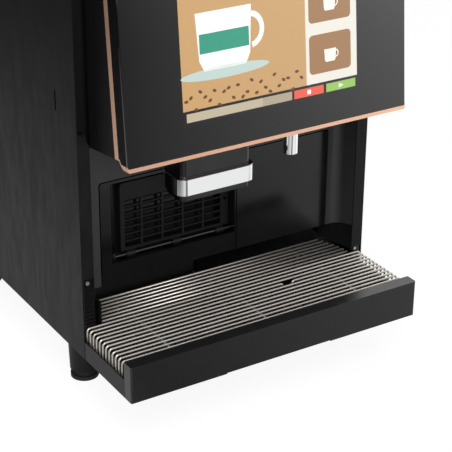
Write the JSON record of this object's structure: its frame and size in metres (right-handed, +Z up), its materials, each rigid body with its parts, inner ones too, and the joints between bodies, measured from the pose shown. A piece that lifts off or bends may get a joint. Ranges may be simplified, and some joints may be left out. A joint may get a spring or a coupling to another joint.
{
  "type": "bean-to-cup coffee machine",
  "caption": "Black table-top coffee machine with a sloping glass touch door, copper-coloured trim, chrome outlet, folding cup shelf, wire drip grid and bean hopper.",
  "frame": {"origin": "on the ground plane below the middle of the bounding box", "axes": "+Z up, -Y to the front where the cups stand, +X to the right as seen from the front"},
  "size_m": [0.41, 0.545, 0.7836],
  "materials": {
    "powder_coat": "fine textured black powder coat",
    "black_sheet": "satin black paint",
    "gloss_black": "polished black moulding",
    "satin_black": "satin black moulding",
    "copper": "polished copper-coloured plating",
    "chrome": "polished",
    "steel": "brushed stainless steel",
    "bright_wire": "bright wire",
    "lining": "glossy black moulding",
    "dark_grille": "satin black moulding with a fine grain",
    "front_glass": "black back-printed glass",
    "display": "lit display",
    "clear_smoke": "clear smoky moulding",
    "white_plastic": "natural white moulding",
    "grey_plastic": "grey moulding",
    "rubber": "soft black rubber",
    "zinc": "zinc-plated steel",
    "aluminium": "cast",
    "brass": "turned",
    "red_plastic": "red moulding"
  },
  "bodies": {
    "cabinet": {"side_panel_left": "powder_coat", "side_panel_right": "powder_coat", "base_pan": "zinc", "legs": "satin_black", "leg_feet": "rubber", "cabinet_fasteners": "zinc", "rear_panel": "powder_coat", "inner_frame": "black_sheet", "splash_wall": "black_sheet", "niche_lining": "lining", "niche_skirts": "satin_black", "post_shoes": "gloss_black", "bay_panel": "lining", "flat_panel": "lining", "panel_carrier": "black_sheet", "shelf_rod": "steel", "hinge_brackets": "zinc", "top_cover": "powder_coat", "bean_hopper": "clear_smoke", "lid_pins": "steel", "grinder": "aluminium", "brew_frame": "grey_plastic", "brew_chamber": "white_plastic", "canisters": "white_plastic", "mixing_bowl": "white_plastic", "drive_motors": "zinc", "boiler": "steel", "pump": "brass", "power_supply": "aluminium", "fan_housing": "satin_black", "grounds_bin": "satin_black", "mains_inlet": "satin_black", "switch_housing": "satin_black", "water_inlet": "brass"},
    "door": {"front_glass": "front_glass", "door_bezel": "gloss_black", "display_module": "display", "copper_trim": "copper", "door_body": "black_sheet", "head_block": "gloss_black", "chrome_band": "chrome", "outlet_nozzles": "satin_black", "water_spout": "chrome"},
    "tray": {"drip_tray": "satin_black", "tray_fascia": "gloss_black"},
    "lock": {"lock_cylinder": "chrome"},
    "shelf": {"cup_shelf": "dark_grille"},
    "grid": {"drip_grid": "bright_wire"},
    "float": {"level_float": "satin_black"},
    "gate": {"hopper_gate": "satin_black"},
    "lid": {"hopper_lid": "satin_black"},
    "refill": {"refill_lid": "powder_coat"},
    "collar": {"grind_collar": "grey_plastic"},
    "piston": {"brew_piston": "white_plastic"},
    "pinion": {"brew_pinion": "steel"},
    "left_auger": {"auger_left": "grey_plastic"},
    "right_auger": {"auger_right": "grey_plastic"},
    "whip": {"whipper": "steel"},
    "fan": {"fan_rotor": "satin_black"},
    "rocker": {"power_rocker": "red_plastic"}
  },
  "joints": [
    {"name": "door_swing", "type": "hinge", "parent": "cabinet", "child": "door", "pos_m": [0.197, -0.1625, 0.52], "axis": [0, 0, 1], "range_deg": [0, 100]},
    {"name": "lock_turn", "type": "hinge", "parent": "door", "child": "lock", "pos_m": [-0.18, -0.1815, 0.54], "axis": [1, 0, 0], "range_deg": [0, 90]},
    {"name": "shelf_fold", "type": "hinge", "parent": "cabinet", "child": "shelf", "pos_m": [-0.047, -0.1025, 0.167], "axis": [1, 0, 0], "range_deg": [0, 90]},
    {"name": "tray_slide", "type": "slide", "parent": "cabinet", "child": "tray", "axis": [0, -1, 0], "range_m": [0, 0.15]},
    {"name": "grid_lift", "type": "slide", "parent": "tray", "child": "grid", "axis": [0, 0, 1], "range_m": [0, 0.025]},
    {"name": "float_rise", "type": "slide", "parent": "tray", "child": "float", "axis": [0, 0, 1], "range_m": [0, 0.012]},
    {"name": "lid_swing", "type": "hinge", "parent": "cabinet", "child": "lid", "pos_m": [-0.09, 0.071, 0.78], "axis": [-1, 0, 0], "range_deg": [0, 100]},
    {"name": "gate_slide", "type": "slide", "parent": "cabinet", "child": "gate", "axis": [1, 0, 0], "range_m": [0, 0.0338]},
    {"name": "refill_swing", "type": "hinge", "parent": "cabinet", "child": "refill", "pos_m": [0.099, 0.0995, 0.7262], "axis": [-1, 0, 0], "range_deg": [0, 100]},
    {"name": "grind_adjust", "type": "hinge", "parent": "cabinet", "child": "collar", "pos_m": [-0.119, -0.0215, 0.61], "axis": [0, 0, 1], "range_deg": [-90, 90]},
    {"name": "pinion_turn", "type": "hinge", "parent": "cabinet", "child": "pinion", "pos_m": [-0.119, -0.0948, 0.47219], "axis": [-1, 0, 0], "range_deg": [0, 159.2]},
    {"name": "piston_travel", "type": "slide", "parent": "cabinet", "child": "piston", "axis": [0, 0, -1], "range_m": [0, 0.03]},
    {"name": "left_auger_spin", "type": "hinge", "parent": "cabinet", "child": "left_auger", "pos_m": [0.062, -0.0215, 0.516], "axis": [0, 1, 0], "continuous": true},
    {"name": "right_auger_spin", "type": "hinge", "parent": "cabinet", "child": "right_auger", "pos_m": [0.136, -0.0215, 0.516], "axis": [0, 1, 0], "continuous": true},
    {"name": "whip_spin", "type": "hinge", "parent": "cabinet", "child": "whip", "pos_m": [0.099, -0.1015, 0.433], "axis": [0, 1, 0], "continuous": true},
    {"name": "fan_spin", "type": "hinge", "parent": "cabinet", "child": "fan", "pos_m": [0, 0.2565, 0.4], "axis": [0, 1, 0], "continuous": true},
    {"name": "rocker_press", "type": "hinge", "parent": "cabinet", "child": "rocker", "pos_m": [-0.093, 0.264, 0.14], "axis": [-1, 0, 0], "range_deg": [0, 16]}
  ],
  "couplings": [
    {"joint": "pinion_turn", "follows": "piston_travel", "rad_per_m": 92.593}
  ]
}
